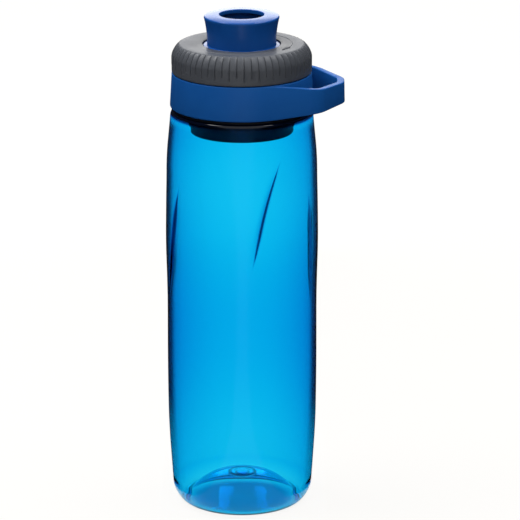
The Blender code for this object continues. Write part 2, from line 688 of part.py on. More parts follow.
def make_stopper(axis, finish):
    head_foot = STOPPER_TOP - HEAD_HEIGHT
    seal_middle = STOPPER_TOP - HEAD_HEIGHT / 2
    groove = HEAD_SEAL_HEIGHT / 2 + SEAT_GAP
    groove_radius = HEAD_SEAL_BORE - SEAT_GAP
    post = [
        (0, STOPPER_TOP),
        (HEAD_RADIUS, STOPPER_TOP),
        (HEAD_RADIUS, seal_middle + groove),
        (groove_radius, seal_middle + groove),
        (groove_radius, seal_middle - groove),
        (HEAD_RADIUS, seal_middle - groove),
        (HEAD_RADIUS, head_foot),
        (STEM_RADIUS, head_foot - HEAD_CONE),
        (STEM_RADIUS, TUBE_FOOT),
        (0, TUBE_FOOT),
    ]
    stopper = placed("stopper", turned(post, closed=False), finish, axis)
    inner = SPIDER_RADIUS - SPIDER_WIDTH
    ring = [
        (inner, SPIDER_TOP),
        (SPIDER_RADIUS, SPIDER_TOP),
        (SPIDER_RADIUS, TUBE_FOOT),
        (inner, TUBE_FOOT),
    ]
    combine(stopper, "spider_ring", turned(ring), "UNION")
    arm_end = SPIDER_RADIUS - SPIDER_WIDTH / 2
    arm_foot = TUBE_FOOT + SEAT_GAP
    arm_top = SPIDER_TOP - SEAT_GAP
    outline = [
        (STEM_RADIUS / 2, arm_foot),
        (arm_end, arm_foot),
        (arm_end, arm_top),
        (WING_RADIUS, arm_top),
        (WING_RADIUS, WING_TOP),
        (STEM_RADIUS / 2, WING_TOP),
    ]
    wing = plate(outline, WING_THICKNESS)
    combine(stopper, "wings", repeated(wing, WING_COUNT), "UNION")


def make_stopper_seal(axis, finish):
    middle = STOPPER_TOP - HEAD_HEIGHT / 2
    high, low = middle + HEAD_SEAL_HEIGHT / 2, middle - HEAD_SEAL_HEIGHT / 2
    ring = [
        (HEAD_SEAL_BORE, high),
        (HEAD_SEAL_RADIUS - HEAD_SEAL_HEIGHT / 4, high),
        (HEAD_SEAL_RADIUS, middle),
        (HEAD_SEAL_RADIUS - HEAD_SEAL_HEIGHT / 4, low),
        (HEAD_SEAL_BORE, low),
    ]
    placed("stopper_seal", turned(ring), finish, axis)


def main():
    clear_scene()
    axis = bpy.data.objects.new("bottle_axis", None)
    axis.location = (AXIS_X, 0, 0)
    bpy.context.scene.collection.objects.link(axis)

    clear_blue = material("clear_blue", (0.01, 0.42, 0.85), 0.05, transmission=1.0)
    lid_blue = material("lid_blue", (0.010, 0.075, 0.26), 0.38)
    collar_grey = material("collar_grey", (0.075, 0.08, 0.085), 0.5)
    core_grey = material("core_grey", (0.02, 0.021, 0.024), 0.45)
    soft_white = material("soft_white", (0.72, 0.72, 0.70), 0.6)

    make_bottle(axis, clear_blue)
    make_cap(axis, core_grey)
    make_gasket(axis, soft_white)
    make_band(axis, lid_blue)
    make_collar(axis, collar_grey)
    make_spout(axis, lid_blue)
    make_piston_seal(axis, soft_white)
    make_stopper(axis, core_grey)
    make_stopper_seal(axis, soft_white)


main()
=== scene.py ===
import json
import math

import bmesh
import bpy
from mathutils import Matrix, Vector


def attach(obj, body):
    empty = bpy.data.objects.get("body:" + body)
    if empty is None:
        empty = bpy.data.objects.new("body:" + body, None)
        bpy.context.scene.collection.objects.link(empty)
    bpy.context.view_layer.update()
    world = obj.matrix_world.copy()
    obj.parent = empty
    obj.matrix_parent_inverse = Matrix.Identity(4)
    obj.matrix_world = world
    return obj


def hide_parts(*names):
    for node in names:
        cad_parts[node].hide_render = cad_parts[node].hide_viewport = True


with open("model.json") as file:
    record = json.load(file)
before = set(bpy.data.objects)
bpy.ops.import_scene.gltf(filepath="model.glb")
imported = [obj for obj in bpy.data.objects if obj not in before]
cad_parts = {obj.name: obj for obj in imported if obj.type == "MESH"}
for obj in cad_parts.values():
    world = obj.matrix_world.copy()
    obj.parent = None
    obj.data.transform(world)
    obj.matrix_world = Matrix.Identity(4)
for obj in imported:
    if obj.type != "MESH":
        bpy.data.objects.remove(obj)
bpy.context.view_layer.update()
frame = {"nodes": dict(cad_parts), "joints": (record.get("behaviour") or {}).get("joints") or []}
scene = bpy.context.scene
jointNamed = {joint["name"]: joint for joint in frame["joints"]}
bottleAxis = Vector((jointNamed["lid_turn"]["pos_m"][0], 0, 0))


# Outlines are (radius, height) points in millimetres, with a third number where a corner is rounded.
mm = 0.001
slack = 0.05  # for finding the rows of a mesh again by their radius or height
weld = 0.001  # and for joining vertices that meet


def smooth(value, low, high):
    t = min(max((value - low) / (high - low), 0), 1)
    return t * t * (3 - 2 * t)


def polar(radius, angle):
    return Vector((radius * math.cos(angle), radius * math.sin(angle)))


def wire(points, closed=True, roundSteps=4):
    bm = bmesh.new()
    verts = [bm.verts.new((p[0], 0, p[1])) for p in points]
    for a, b in zip(verts, verts[1:] + verts[:1] if closed else verts[1:]):
        bm.edges.new((a, b))
    for vert, p in zip(verts, points):
        if len(p) > 2:
            bmesh.ops.bevel(bm, geom=[vert], offset=p[2], offset_type="OFFSET", segments=roundSteps,
                            profile=0.5, affect="VERTICES", material=-1)
    return bm


def vertsIn(geom):
    return [g for g in geom if isinstance(g, bmesh.types.BMVert)]


def spun(points, steps, closed=True):
    # part of the turn is spun and then doubled until it closes, which is quicker than one long spin
    bm = wire(points, closed)
    parts = math.gcd(steps, 2 ** 4)  # four doublings at most
    turn = math.tau / parts
    bmesh.ops.spin(bm, geom=bm.verts[:] + bm.edges[:], cent=(0, 0, 0), axis=(0, 0, 1), angle=turn,
                   steps=steps // parts, use_merge=False)
    while turn < math.tau - 0.01:
        copied = bmesh.ops.duplicate(bm, geom=bm.verts[:] + bm.edges[:] + bm.faces[:])["geom"]
        bmesh.ops.rotate(bm, verts=vertsIn(copied), cent=(0, 0, 0), matrix=Matrix.Rotation(turn, 3, "Z"))
        turn *= 2
    bmesh.ops.remove_doubles(bm, verts=bm.verts, dist=weld)
    bmesh.ops.recalc_face_normals(bm, faces=bm.faces)
    return bm


def columnOf(vert, columns):
    # which of the spun columns a vertex stands in
    return round(math.degrees(math.atan2(vert.co.y, vert.co.x)) / 360 * columns) % columns


def roundArc(centre, radii, start, end, steps, power=2.0):
    # points on a corner, a power under 2 makes it flatter
    points = []
    for i in range(steps + 1):
        angle = math.radians(start + (end - start) * i / steps)
        across = math.copysign(abs(math.cos(angle)) ** (2 / power), math.cos(angle))
        up = math.copysign(abs(math.sin(angle)) ** (2 / power), math.sin(angle))
        points.append((centre[0] + radii[0] * across, centre[1] + radii[1] * up))
    return points


def piece(name, bm, finish, body, slot, *nodes, sharp=40):
    # from millimetres on the axis to the frame's metres
    bmesh.ops.scale(bm, vec=(mm, mm, mm), verts=bm.verts)
    bmesh.ops.translate(bm, vec=bottleAxis, verts=bm.verts)
    mesh = bpy.data.meshes.new(name)
    bm.to_mesh(mesh)
    bm.free()
    mesh.shade_smooth()
    mesh.set_sharp_from_angle(angle=math.radians(sharp))
    mesh.materials.append(finish)
    made = bpy.data.objects.new(name, mesh)
    scene.collection.objects.link(made)
    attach(made, body)
    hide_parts(*nodes)
    print(name, "made,", sum(len(p.vertices) - 2 for p in mesh.polygons), "triangles")
    return made


# Finishes

def newFinish(name):
    made = bpy.data.materials.new(name)
    made.use_nodes = True
    tree = made.node_tree
    return made, tree.nodes, tree.links, tree.nodes["Principled BSDF"]


def feed(links, socket, value):
    # a socket takes another node's output, or a number or colour of its own
    if isinstance(value, bpy.types.NodeSocket):
        links.new(value, socket)
    else:
        socket.default_value = (*value, 1) if isinstance(value, tuple) else value


def objectNoise(nodes, links, scale, detail):
    coords = nodes.new("ShaderNodeTexCoord")
    noise = nodes.new("ShaderNodeTexNoise")
    noise.inputs["Scale"].default_value = scale
    noise.inputs["Detail"].default_value = detail
    links.new(coords.outputs["Object"], noise.inputs["Vector"])
    return noise.outputs["Fac"]


def ranged(nodes, links, source, fromLow, fromHigh, toLow, toHigh):
    ramp = nodes.new("ShaderNodeMapRange")
    ramp.interpolation_type = "SMOOTHSTEP"
    links.new(source, ramp.inputs["Value"])
    limits = {"From Min": fromLow, "From Max": fromHigh, "To Min": toLow, "To Max": toHigh}
    for socket, value in limits.items():
        ramp.inputs[socket].default_value = value
    return ramp.outputs["Result"]


# the Mix node has sockets of the same name for every type, so they are picked by their place
def mixColours(nodes, links, factor, first, second, blend="MIX"):
    mix = nodes.new("ShaderNodeMix")
    mix.data_type = "RGBA"
    mix.blend_type = blend
    for place, value in ((0, factor), (6, first), (7, second)):
        feed(links, mix.inputs[place], value)
    return mix.outputs[2]


def mixValues(nodes, links, factor, first, second):
    mix = nodes.new("ShaderNodeMix")
    for place, value in ((0, factor), (2, first), (3, second)):
        feed(links, mix.inputs[place], value)
    return mix.outputs[0]


def attributeOf(nodes, name):
    node = nodes.new("ShaderNodeAttribute")
    node.attribute_name = name
    return node.outputs["Fac"]


def rampOf(nodes, links, source, tones):
    ramp = nodes.new("ShaderNodeValToRGB")
    stops = ramp.color_ramp.elements
    while len(stops) < len(tones):
        stops.new(0.5)
    for stop, (place, colour) in zip(stops, tones):
        stop.position = place
        stop.color = (*colour, 1)
    links.new(source, ramp.inputs["Fac"])
    return ramp.outputs["Color"]


def addBump(nodes, links, shader, height, strength, depth):
    bump = nodes.new("ShaderNodeBump")
    bump.inputs["Strength"].default_value = strength
    bump.inputs["Distance"].default_value = depth
    links.new(height, bump.inputs["Height"])
    links.new(bump.outputs["Normal"], shader.inputs["Normal"])


plasticNoise = {"cloudDetail": 3, "grainDetail": 2, "spread": (0.3, 0.7)}


def mouldedPlastic(name, look):
    made, nodes, links, shader = newFinish(name)
    cloud = objectNoise(nodes, links, look["cloudScale"], plasticNoise["cloudDetail"])
    grain = objectNoise(nodes, links, look["grainScale"], plasticNoise["grainDetail"])
    tint = ranged(nodes, links, cloud, *plasticNoise["spread"], 0, 1)
    colour = mixColours(nodes, links, tint, look["colour"], look["cloudColour"])
    # painted shade in the grooves
    if "grooveShadeColour" in look:
        colour = mixColours(nodes, links, attributeOf(nodes, "grooveShade"), colour, look["grooveShadeColour"])
    links.new(colour, shader.inputs["Base Color"])
    rough = ranged(nodes, links, cloud, *plasticNoise["spread"], *look["roughness"])
    links.new(rough, shader.inputs["Roughness"])
    addBump(nodes, links, shader, grain, look["grainStrength"], look["grainDepth"])
    shader.inputs["IOR"].default_value = look["ior"]
    shader.inputs["Specular IOR Level"].default_value = look["gloss"]
    return made


bandLook = {
    "colour": (0.0066, 0.072, 0.275), "cloudColour": (0.0076, 0.080, 0.297), "cloudScale": 55,
    "gloss": 0.07, "roughness": (0.36, 0.44), "ior": 1.49,
    "grainScale": 3200, "grainStrength": 0.25, "grainDepth": 0.00004,
}
spoutLook = {
    "colour": (0.005, 0.053, 0.226), "cloudColour": (0.006, 0.059, 0.246), "cloudScale": 70,
    "gloss": 0.14, "roughness": (0.13, 0.18), "ior": 1.49,
    "grainScale": 3600, "grainStrength": 0.12, "grainDepth": 0.00003,
}
collarLook = {
    "colour": (0.055, 0.060, 0.070), "cloudColour": (0.063, 0.068, 0.079), "cloudScale": 60,
    # painted shade in the grooves
    "grooveShadeColour": (0.042, 0.046, 0.054),
    "gloss": 0.2, "roughness": (0.34, 0.42), "ior": 1.5,
    "grainScale": 2600, "grainStrength": 0.4, "grainDepth": 0.00006,
}
coreLook = {
    "colour": (0.004, 0.0045, 0.007), "cloudColour": (0.006, 0.0065, 0.009), "cloudScale": 60,
    "gloss": 0.06, "roughness": (0.4, 0.5), "ior": 1.5,
    "grainScale": 2800, "grainStrength": 0.3, "grainDepth": 0.00005,
}
softLook = {
    "colour": (0.70, 0.70, 0.68), "cloudColour": (0.76, 0.76, 0.74), "cloudScale": 90,
    "gloss": 0.4, "roughness": (0.55, 0.65), "ior": 1.42,
    "grainScale": 4000, "grainStrength": 0.2, "grainDepth": 0.00003,
}
bandBlue = mouldedPlastic("bandBlue", bandLook)
spoutBlue = mouldedPlastic("spoutBlue", spoutLook)
collarGrey = mouldedPlastic("collarGrey", collarLook)
coreGrey = mouldedPlastic("coreGrey", coreLook)
softWhite = mouldedPlastic("softWhite", softLook)

untinted = (1.0, 1.0, 1.0)
clearLook = {
    "ior": 1.54, "roughness": (0.012, 0.03),
    "smudgeScale": 45, "smudgeDetail": 4, "smudgeSpread": (0.35, 0.7),
    "rippleScale": 38, "rippleDetail": 1, "rippleStrength": 0.04, "rippleDepth": 0.0004,
    "absorbs": (0.0, 0.877, 0.976), "density": 1750,  # what a metre of the blue plastic takes
    "mirrorTint": (0.07, 0.16, 0.38),  # tinted all through, so its soft reflections are bluish
    # painted shade on the folds, the shoulder, the neck's shelf and the gate ring, from none to all but black
    "paintedShadeTones": [(0.0, untinted), (0.3, (0.36, 0.50, 0.76)), (0.65, (0.012, 0.03, 0.15)),
                  (1.0, (0.0008, 0.0014, 0.012))],
    # painted shade on the wall, from face on to edge on
    "sideShadeTones": [(0.04, untinted), (0.2, (0.80, 0.865, 0.935)), (0.45, (0.58, 0.70, 0.85)),
                  (0.57, (0.38, 0.52, 0.70)), (0.63, (0.13, 0.20, 0.31)), (0.67, (0.035, 0.06, 0.11)),
                  (0.70, (0.010, 0.02, 0.045)), (0.80, (0.002, 0.004, 0.009))],
    "facingBlend": 0.5,
}


def clearPlastic(name, look):
    made, nodes, links, shader = newFinish(name)
    shader.inputs["Transmission Weight"].default_value = 1
    shader.inputs["IOR"].default_value = look["ior"]
    shader.inputs["Specular Tint"].default_value = (*look["mirrorTint"], 1)
    smudge = objectNoise(nodes, links, look["smudgeScale"], look["smudgeDetail"])
    rough = ranged(nodes, links, smudge, *look["smudgeSpread"], *look["roughness"])
    links.new(rough, shader.inputs["Roughness"])
    ripple = objectNoise(nodes, links, look["rippleScale"], look["rippleDetail"])
    addBump(nodes, links, shader, ripple, look["rippleStrength"], look["rippleDepth"])

    # painted shade on the folds, the shoulder, the neck's shelf and the gate ring
    toned = rampOf(nodes, links, attributeOf(nodes, "paintedShadeMask"), look["paintedShadeTones"])

    # the wall darkens where it is seen edge on: partly its longer path through the blue, partly painted shade
    weight = nodes.new("ShaderNodeLayerWeight")
    weight.inputs["Blend"].default_value = look["facingBlend"]
    sides = rampOf(nodes, links, weight.outputs["Facing"], look["sideShadeTones"])
    edged = mixColours(nodes, links, attributeOf(nodes, "sideShadeMask"), untinted, sides)
    links.new(mixColours(nodes, links, 1.0, toned, edged, "MULTIPLY"), shader.inputs["Base Color"])

    absorb = nodes.new("ShaderNodeVolumeAbsorption")
    absorb.inputs["Color"].default_value = (*look["absorbs"], 1)
    absorb.inputs["Density"].default_value = look["density"]
    links.new(absorb.outputs["Volume"], nodes["Material Output"].inputs["Volume"])
    return made


# an opaque, all but black finish on the bottle's shoulder: painted shade in place of the clear wall
shoulderShadeLook = {
    "colour": (0.0008, 0.0018, 0.006), "cloudColour": (0.0012, 0.0024, 0.008), "cloudScale": 60,
    "gloss": 0.27, "roughness": (0.03, 0.06), "ior": 1.54,
    "grainScale": 1500, "grainStrength": 0.05, "grainDepth": 0.00003,
}
clearBlue = clearPlastic("clearBlue", clearLook)
shoulderPaintedShade = mouldedPlastic("shoulderPaintedShade", shoulderShadeLook)
print("finishes made:", len(bpy.data.materials))


# Bottle: a spun shell with four twisted creases and a thread on its neck

shell = {
    # height and radius
    "stations": [(9.2, 35.85), (50, 37.9), (78, 38.1), (105.5, 38.0), (146, 38.7), (176, 38.25),
                 (202.6, 36.1)],
    "wall": 1.8, "wallSwell": 0.3, "wallSwellAt": 93, "wallSwellSpan": 140,  # thicker at the waist
    "rowStep": 2.0, "baseWall": 1.3, "floorEdge": 30.2,
    "standing": (28.3, 29.8), "standingEdge": 0.3,
    "heelPower": 1.5, "heelSteps": 12, "innerHeelPower": 1.6, "innerHeelSteps": 10,
    "puntRise": 12.3, "puntPower": 2.7, "puntRows": 22,
    "gate": (7.0, 0.35), "gateSlope": 0.7, "gateEdge": 0.25, "gateRow": 4.8,
    "nub": (3.3, 0.6), "nubSlope": 0.4, "nubEdge": 0.2,
    # gateLine and gateFade place the painted shade along the ring of the gate
    "gateRings": (6.7, 6.4, 6.1, 5.6, 5.0, 4.2, 3.2, 1.9), "gateLine": 6.4, "gateFade": (0.45, 1.1),
    "shoulderTop": 206.8, "shoulderRound": (2.4, 4.2), "shoulderSteps": 14,
    "innerRoundLess": 0.6, "innerShoulderSteps": 8,
    "neck": (27.4, 30.0), "neckEdge": 0.5, "rimTop": 221.6, "rimRound": 0.6,
    # turn from the first crease and width of the step are in degrees
    "creases": [
        # the last number of each crease is how dark the painted shade along its fold is
        {"turn": 0, "foot": 131, "head": 190, "step": 5.0, "paintedShade": 1.0},
        {"turn": 95, "foot": 98, "head": 163, "step": 2.0, "paintedShade": 1.0},
        {"turn": 180, "foot": 131, "head": 190, "step": 12.0, "paintedShade": 0.0},
        {"turn": 282, "foot": 108, "head": 174, "step": 2.0, "paintedShade": 1.0},
    ],
    "panelColumns": 60, "stepColumns": 12, "columnEase": 1.5,
    "creaseDepth": 1.3, "creaseEase": 1.3, "creaseRunOut": 24,
    "creaseAngle": -72.6, "creaseBelly": 153.8, "creaseLean": 0.33, "creaseCurl": 0.004,
    "creaseSpan": (92, 190), "innerStep": 8.0,
    # width, least share and gain of the painted shade along the folds
    "foldWidth": 1.6, "foldLeast": 0.2, "foldGain": 3,  # width in degrees
    # the painted shade on the wall's edges fades towards the foot and ends below the shoulder
    "sideFade": (6, 60, 0.35), "sideEnd": (200, 203),  # the sides are lighter towards the foot
    # painted shade on the shoulder below the band
    "shoulderShade": (203.2, 205.2),  # from here up it is all but black
    "threadFoot": 212.2, "threadLead": 5.0, "threadTurns": 1.25, "threadDepth": 1.4,
    "threadWidth": (0.5, 1.1), "threadFade": 0.06, "threadRows": 36, "threadMargin": 1,
}


def bodyRadius(height):
    places = shell["stations"]
    slopes = [(b[1] - a[1]) / (b[0] - a[0]) for a, b in zip(places, places[1:])]
    bends = [slopes[0]]
    for before, after in zip(slopes, slopes[1:]):
        bends.append(0 if before * after <= 0 else 2 * before * after / (before + after))
    bends.append(slopes[-1])
    i = max(k for k in range(len(slopes)) if height >= places[k][0] or k == 0)
    span = places[i + 1][0] - places[i][0]
    t = (height - places[i][0]) / span
    return (places[i][1] * (1 + 2 * t) * (1 - t) ** 2 + bends[i] * span * t * (1 - t) ** 2
            + places[i + 1][1] * t * t * (3 - 2 * t) + bends[i + 1] * span * t * t * (t - 1))


def outerRadius(height):
    # the same with the rounds of heel and shoulder
    heel, foot = shell["stations"][0]
    wallTop, shoulder = shell["stations"][-1]
    if height < heel:
        ring = shell["standing"][1]
        power = shell["heelPower"]
        return ring + (foot - ring) * max(1 - ((heel - height) / heel) ** power, 0) ** (1 / power)
    if height > wallTop:
        across, up = shell["shoulderRound"]
        return shoulder - across + across * math.sqrt(max(1 - ((height - wallTop) / up) ** 2, 0))
    return bodyRadius(height)


def isOutside(radius, height):
    return radius > outerRadius(height) - shell["wall"] / 2


def wallAt(height):
    phase = math.tau * (height - shell["wallSwellAt"]) / shell["wallSwellSpan"]
    return shell["wall"] + shell["wallSwell"] * math.cos(phase)


def puntHeight(radius):
    return shell["puntRise"] * (1 - (radius / shell["standing"][0]) ** shell["puntPower"])


def shellOutline():
    wall, baseWall = shell["wall"], shell["baseWall"]
    ringInner, ringOuter = shell["standing"]
    heel, foot = shell["stations"][0]
    wallTop, shoulderRadius = shell["stations"][-1]
    top, corner = shell["shoulderTop"], shell["shoulderRound"]
    bore, neck = shell["neck"]
    neckEdge, rimTop, rimRound = shell["neckEdge"], shell["rimTop"], shell["rimRound"]
    bodyRows = round((wallTop - heel) / shell["rowStep"])
    rows = [heel + (wallTop - heel) * i / bodyRows for i in range(1, bodyRows)]
    gateRadius, gateDepth = shell["gate"]
    nubRadius, nubDrop = shell["nub"]
    gateEdge, nubEdge = shell["gateEdge"], shell["nubEdge"]
    gateFoot = puntHeight(gateRadius)
    gateTop = gateFoot + gateDepth
    nubFoot = gateTop - nubDrop
    step = (ringInner - gateRadius) / shell["puntRows"]
    dome = [gateRadius + step * i for i in range(1, shell["puntRows"])]

    # the outside from the middle of the base up to the rim
    points = [(0, nubFoot), (nubRadius - shell["nubSlope"], nubFoot, nubEdge), (nubRadius, gateTop, nubEdge),
              (shell["gateRow"], gateTop), (gateRadius - shell["gateSlope"], gateTop, gateEdge),
              (gateRadius, gateFoot, gateEdge)]
    points += [(r, puntHeight(r)) for r in dome]
    points += [(ringInner, 0, shell["standingEdge"])]
    heelRadii = (foot - ringOuter, heel)
    points += roundArc((ringOuter, heel), heelRadii, -90, 0, shell["heelSteps"], shell["heelPower"])
    points += [(bodyRadius(z), z) for z in rows]
    points += roundArc((shoulderRadius - corner[0], wallTop), corner, 0, 90, shell["shoulderSteps"])
    points += [(neck, top, neckEdge)]
    margin, threadRows = shell["threadMargin"], shell["threadRows"]
    threadSpan = rimTop - top - 2 * margin
    points += [(neck, top + margin + threadSpan * i / threadRows) for i in range(threadRows + 1)]
    points += [(neck, rimTop, rimRound)]

    # and the inside back down
    points += [(bore, rimTop, rimRound), (bore, top - wall, neckEdge)]
    innerRound = (corner[0] - shell["innerRoundLess"], corner[1] - wall)
    innerMiddle = (shoulderRadius - wall - innerRound[0], wallTop)
    points += roundArc(innerMiddle, innerRound, 90, 0, shell["innerShoulderSteps"])
    points += [(bodyRadius(z) - wallAt(z), z) for z in reversed(rows)]
    floorEdge = shell["floorEdge"]
    heelRadii = (foot - wall - floorEdge, heel - baseWall)
    points += roundArc((floorEdge, heel), heelRadii, 0, -90, shell["innerHeelSteps"], shell["innerHeelPower"])
    points += [(r, puntHeight(r) + baseWall) for r in reversed(dome)]
    points += [(r, puntHeight(r) + baseWall) for r in (gateRadius, *shell["gateRings"], 0)]
    return points


def creaseShare(height, crease):
    # 1 along the middle of a crease, running out to 0 at its foot and head
    foot, head, runOut = crease["foot"], crease["head"], shell["creaseRunOut"]
    return smooth(height, foot, foot + runOut) * (1 - smooth(height, head - runOut, head))


def creaseAngle(height):
    low, high = shell["creaseSpan"]
    above = min(max(height, low), high) - shell["creaseBelly"]
    return shell["creaseAngle"] + shell["creaseLean"] * above + shell["creaseCurl"] * max(above, 0) ** 2


def columnOffsets(width, step):
    # columns of one panel in degrees, close together at its folds
    wide = shell["panelColumns"] - shell["stepColumns"]
    offsets = [(width - step) * (k / wide) ** shell["columnEase"] for k in range(wide)]
    return offsets + [width - step + step * k / shell["stepColumns"] for k in range(shell["stepColumns"])]


def stepIn(offset, width, step, own, following):
    # how far the panel lies in at so many degrees past its fold
    if offset > width - step:
        return following * smooth(offset, width - step, width)
    return own * (1 - offset / (width - step)) ** shell["creaseEase"]


def foldShade(offset, width, crease, after, own, following):
    # painted shade along the nearer of a panel's two folds
    if offset < width / 2:
        share, paintedShade, away = own, crease["paintedShade"], offset + crease["step"] / 2
    else:
        share, paintedShade, away = following, after["paintedShade"], width - offset - after["step"] / 2
    least = shell["foldLeast"]
    wide = shell["foldWidth"] * (least + (1 - least) * share)
    return math.exp(-(away / wide) ** 2) * min(1, shell["foldGain"] * share) * paintedShade


def sideShare(height):
    low, high, least = shell["sideFade"]
    return (least + (1 - least) * smooth(height, low, high)) * (1 - smooth(height, *shell["sideEnd"]))


def threadRise(angle, height):
    rise = 0
    for turn in (0, 1):
        along = angle / 360 + turn
        if along > shell["threadTurns"]:
            continue
        away = abs(height - shell["threadFoot"] - shell["threadLead"] * along)
        ends = smooth(min(along, shell["threadTurns"] - along), 0, shell["threadFade"])
        rise = max(rise, ends * (1 - smooth(away, *shell["threadWidth"])))
    return rise * shell["threadDepth"]


def makeBottle():
    creases = shell["creases"]
    columns = len(creases) * shell["panelColumns"]
    bm = spun(shellOutline(), columns, closed=False)
    # painted shade on the folds, the shoulder, the neck's shelf and the gate ring, and on the wall's edges
    paintedShadeLayer = bm.verts.layers.float.new("paintedShadeMask")
    sideShadeLayer = bm.verts.layers.float.new("sideShadeMask")
    panels = []
    for crease, after in zip(creases, creases[1:] + creases[:1]):
        width = (after["turn"] - crease["turn"]) % 360
        panels.append((crease, after, width, columnOffsets(width, after["step"])))
    neck, top = shell["neck"][1], shell["shoulderTop"]
    threadStart = top + shell["threadMargin"]
    for vert in bm.verts:
        radius, height = vert.co.xy.length, vert.co.z
        if radius < slack:
            continue
        place, k = divmod(columnOf(vert, columns), shell["panelColumns"])
        crease, after, width, offsets = panels[place]
        offset = offsets[k]
        own, following = creaseShare(height, crease), creaseShare(height, after)
        angle = creaseAngle(height) + crease["turn"] + offset
        if radius < shell["gate"][0] + slack and height > puntHeight(radius) + shell["baseWall"] - slack:
            # painted shade along the ring of the gate
            vert[paintedShadeLayer] = 1 - smooth(abs(radius - shell["gateLine"]), *shell["gateFade"])
        # painted shade on the shelf round the neck's foot
        if radius > neck - slack and top - slack < height < threadStart - slack:
            vert[paintedShadeLayer] = 1
        if radius > shell["standing"][1] + slack:
            outside = isOutside(radius, height)
            step = after["step"] if outside else max(after["step"], shell["innerStep"])
            radius -= shell["creaseDepth"] * stepIn(offset, width, step, own, following)
            if outside:
                # painted shade along the folds, and all but black from the shoulder up
                fold = foldShade(offset, width, crease, after, own, following)
                vert[paintedShadeLayer] = max(fold, smooth(height, *shell["shoulderShade"]))
                # painted shade on the wall where it is seen edge on
                vert[sideShadeLayer] = sideShare(height)
        if abs(radius - neck) < slack and height > threadStart:
            radius += threadRise(angle % 360, height)
        vert.co.xy = polar(radius, math.radians(angle))
    bmesh.ops.recalc_face_normals(bm, faces=bm.faces)
    # the shoulder's outside takes the opaque, all but black finish: painted shade
    for face in bm.faces:
        middle = face.calc_center_median()
        if shell["shoulderShade"][1] < middle.z < top and isOutside(middle.xy.length, middle.z):
            face.material_index = 1
    made = piece("bottleShell", bm, clearBlue, "bottle", "clear_blue", "bottle_body", sharp=60)
    made.data.materials.append(shoulderPaintedShade)


makeBottle()


# Lid core: threaded skirt, deck, upstand and the tube that hangs in the neck

core = {
    "tube": (24.3, 25.9), "tubeFoot": 195.5, "tubeEdge": 0.4,
    "skirt": (31.9, 33.6), "skirtFoot": 207.1, "flange": 35.3, "flangeTop": 208.15,
    "deck": (223.4, 225.4), "rebate": 32.6, "rebateTop": 224.5,
    "upstand": (30.5, 31.8), "upstandTop": 230.4,
    "bead": 32.7, "beadDrops": (0.9, 1.35, 1.8), "beadEdges": (0.2, 0.15),
    "edge": 0.3, "fineEdge": 0.2, "steps": 128,
    "threadFoot": 210.2, "threadCrest": 30.5, "threadRows": 30, "rowsFoot": 1.1, "rowStep": 0.4,
}


def makeLidCore():
    tubeBore, tube = core["tube"]
    skirtBore, skirt = core["skirt"]
    deckFoot, deckTop = core["deck"]
    inner, outer = core["upstand"]
    top, bead = core["upstandTop"], core["bead"]
    beadTop, beadMiddle, beadFoot = [top - drop for drop in core["beadDrops"]]
    topEdge, middleEdge = core["beadEdges"]
    skirtFoot, tubeFoot, tubeEdge = core["skirtFoot"], core["tubeFoot"], core["tubeEdge"]
    edge, fine = core["edge"], core["fineEdge"]
    rows = [skirtFoot + core["rowsFoot"] + core["rowStep"] * i for i in range(core["threadRows"])]
    outline = [
        (tubeBore, deckTop, edge), (inner, deckTop, edge), (inner, top, edge), (outer, top, edge),
        (bead, beadTop, topEdge), (bead, beadMiddle, middleEdge), (outer, beadFoot), (outer, deckTop),
        (core["rebate"], deckTop, fine), (core["rebate"], core["rebateTop"]),
        (skirt, core["rebateTop"], edge), (skirt, core["flangeTop"]),
        (core["flange"], core["flangeTop"], fine), (core["flange"], skirtFoot, edge),
        (skirtBore, skirtFoot, edge), *[(skirtBore, z) for z in rows], (skirtBore, deckFoot, edge),
        (tube, deckFoot, edge), (tube, tubeFoot, tubeEdge), (tubeBore, tubeFoot, tubeEdge),
    ]
    bm = spun(outline, core["steps"])
    for vert in bm.verts:
        if abs(vert.co.xy.length - skirtBore) < slack:
            angle = math.degrees(math.atan2(vert.co.y, vert.co.x)) % 360
            height = vert.co.z + shell["threadFoot"] - core["threadFoot"]
            share = threadRise(angle, height) / shell["threadDepth"]
            vert.co.xy *= 1 - share * (skirtBore - core["threadCrest"]) / skirtBore
    bmesh.ops.recalc_face_normals(bm, faces=bm.faces)
    piece("lidCore", bm, coreGrey, "lid", "core_grey", "inner_cap")


makeLidCore()


# Band round the lid, with the finger loop that leaves it along its tangents

band = {
    "bore": 33.9, "lip": 32.9, "top": 225.7, "foot": 208.3, "topRadius": 35.1, "footRadius": 36.1,
    "lipThick": 0.9, "edge": 0.8, "topEdge": 0.5, "lipEdge": 0.2, "boreEdge": 0.3, "steps": 192,
    "strapOuter": 51.5, "strap": 2.2, "strapEdge": 0.55, "strapEdgeSteps": 4, "strapFold": 60,
    "bend": (38.5, 24.6), "bendRound": 12, "tipY": 5.2, "tipRound": 10.0, "roundSteps": 14,
    "topDrop": 4.2, "footRise": 2.4, "inset": 0.05, "tipSwell": 1.5, "loopMiddle": 43,
    "thin": 1.0, "thicken": (-2, 9), "leanLost": 0.6,  # the strap is thin where it leaves the band
    "sunk": 0.03, "lead": 14, "leadSteps": 6, "straightSteps": 16, "straightRows": 10, "straightGap": 0.3,
}


def bandRadius(height):
    share = (height - band["foot"]) / (band["top"] - band["foot"])
    return band["footRadius"] + (band["topRadius"] - band["footRadius"]) * share


def roundedPath(corners, rounds, steps):
    path = [Vector(corners[0])]
    for before, corner, after, radius in zip(corners, corners[1:], corners[2:], rounds):
        corner = Vector(corner)
        back, on = (Vector(before) - corner).normalized(), (Vector(after) - corner).normalized()
        half = back.angle(on) / 2
        reach = radius / math.tan(half)
        centre = corner + (back + on).normalized() * radius / math.sin(half)
        first = corner + back * reach - centre
        turn = first.angle_signed(corner + on * reach - centre)
        path += [centre + Matrix.Rotation(-turn * i / steps, 2) @ first for i in range(steps + 1)]
    return path + [Vector(corners[-1])]


